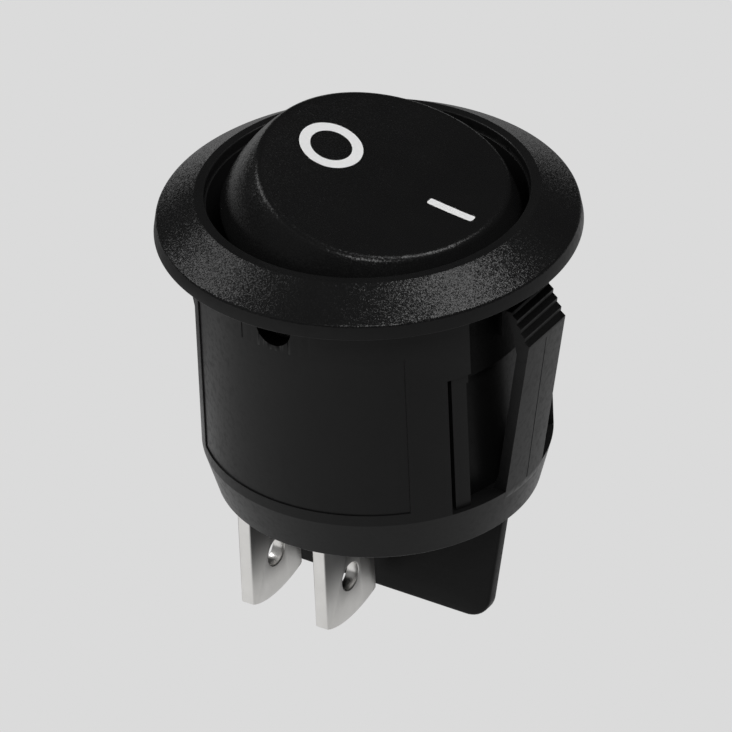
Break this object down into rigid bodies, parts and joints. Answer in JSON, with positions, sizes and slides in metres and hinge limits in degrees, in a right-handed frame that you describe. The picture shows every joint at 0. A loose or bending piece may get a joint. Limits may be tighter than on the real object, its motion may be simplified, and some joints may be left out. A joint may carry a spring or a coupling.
{
  "type": "panel rocker switch",
  "caption": "Round snap-in panel rocker switch with a dished on-off rocker in a bevelled bezel, toothed latch fingers, and flat blade terminals parted by a barrier.",
  "frame": {"origin": "on the switch axis, in the plane of the panel's front face that the bezel flange sits on", "axes": "+Z out of the panel along the switch axis; +X towards the ON end of the rocker, drawn pressed in; the two poles lie at -Y and +Y"},
  "size_m": [0.023, 0.023, 0.0284],
  "materials": {
    "housing": "fine moulded texture, slightly glossy on the walls",
    "base": "satin",
    "rocker": "fine matte texture",
    "mark": "white printed ink",
    "plunger": "smooth",
    "spring": "drawn wire",
    "contact_arm": "rolled copper alloy strip",
    "contact": "silver alloy button",
    "terminal": "bright plated strip"
  },
  "bodies": {
    "switch_body": {"housing": "housing", "base": "base", "fixed_contact_front": "contact", "fixed_contact_rear": "contact", "common_terminal_front": "terminal", "common_terminal_rear": "terminal", "load_terminal_front": "terminal", "load_terminal_rear": "terminal"},
    "rocker_body": {"rocker": "rocker", "plunger_spring_front": "spring", "plunger_spring_rear": "spring"},
    "plunger_front_body": {"plunger_front": "plunger"},
    "contact_arm_front_body": {"contact_arm_front": "contact_arm", "moving_contact_front": "contact"},
    "plunger_rear_body": {"plunger_rear": "plunger"},
    "contact_arm_rear_body": {"contact_arm_rear": "contact_arm", "moving_contact_rear": "contact"}
  },
  "joints": [
    {"name": "rocker_tilt", "type": "hinge", "parent": "switch_body", "child": "rocker_body", "pos_m": [0, 0, -0.0013], "axis": [0, 1, 0], "range_deg": [-26, 0]},
    {"name": "plunger_slide_front", "type": "slide", "parent": "rocker_body", "child": "plunger_front_body", "axis": [0.225, 0, 0.9744], "range_m": [0, 0.0006], "stiffness_N_per_m": 300, "springref_m": -0.0005, "deforming": ["plunger_spring_front"]},
    {"name": "contact_tilt_front", "type": "hinge", "parent": "switch_body", "child": "contact_arm_front_body", "pos_m": [0, -0.0038, -0.01002], "axis": [0, 1, 0], "range_deg": [0, 16]},
    {"name": "plunger_slide_rear", "type": "slide", "parent": "rocker_body", "child": "plunger_rear_body", "axis": [0.225, 0, 0.9744], "range_m": [0, 0.0006], "stiffness_N_per_m": 300, "springref_m": -0.0005, "deforming": ["plunger_spring_rear"]},
    {"name": "contact_tilt_rear", "type": "hinge", "parent": "switch_body", "child": "contact_arm_rear_body", "pos_m": [0, 0.0038, -0.01002], "axis": [0, 1, 0], "range_deg": [0, 16]}
  ],
  "couplings": [
    {"joint": "contact_tilt_front", "follows": "rocker_tilt", "ratio": -0.6153},
    {"joint": "contact_tilt_rear", "follows": "rocker_tilt", "ratio": -0.6153}
  ]
}
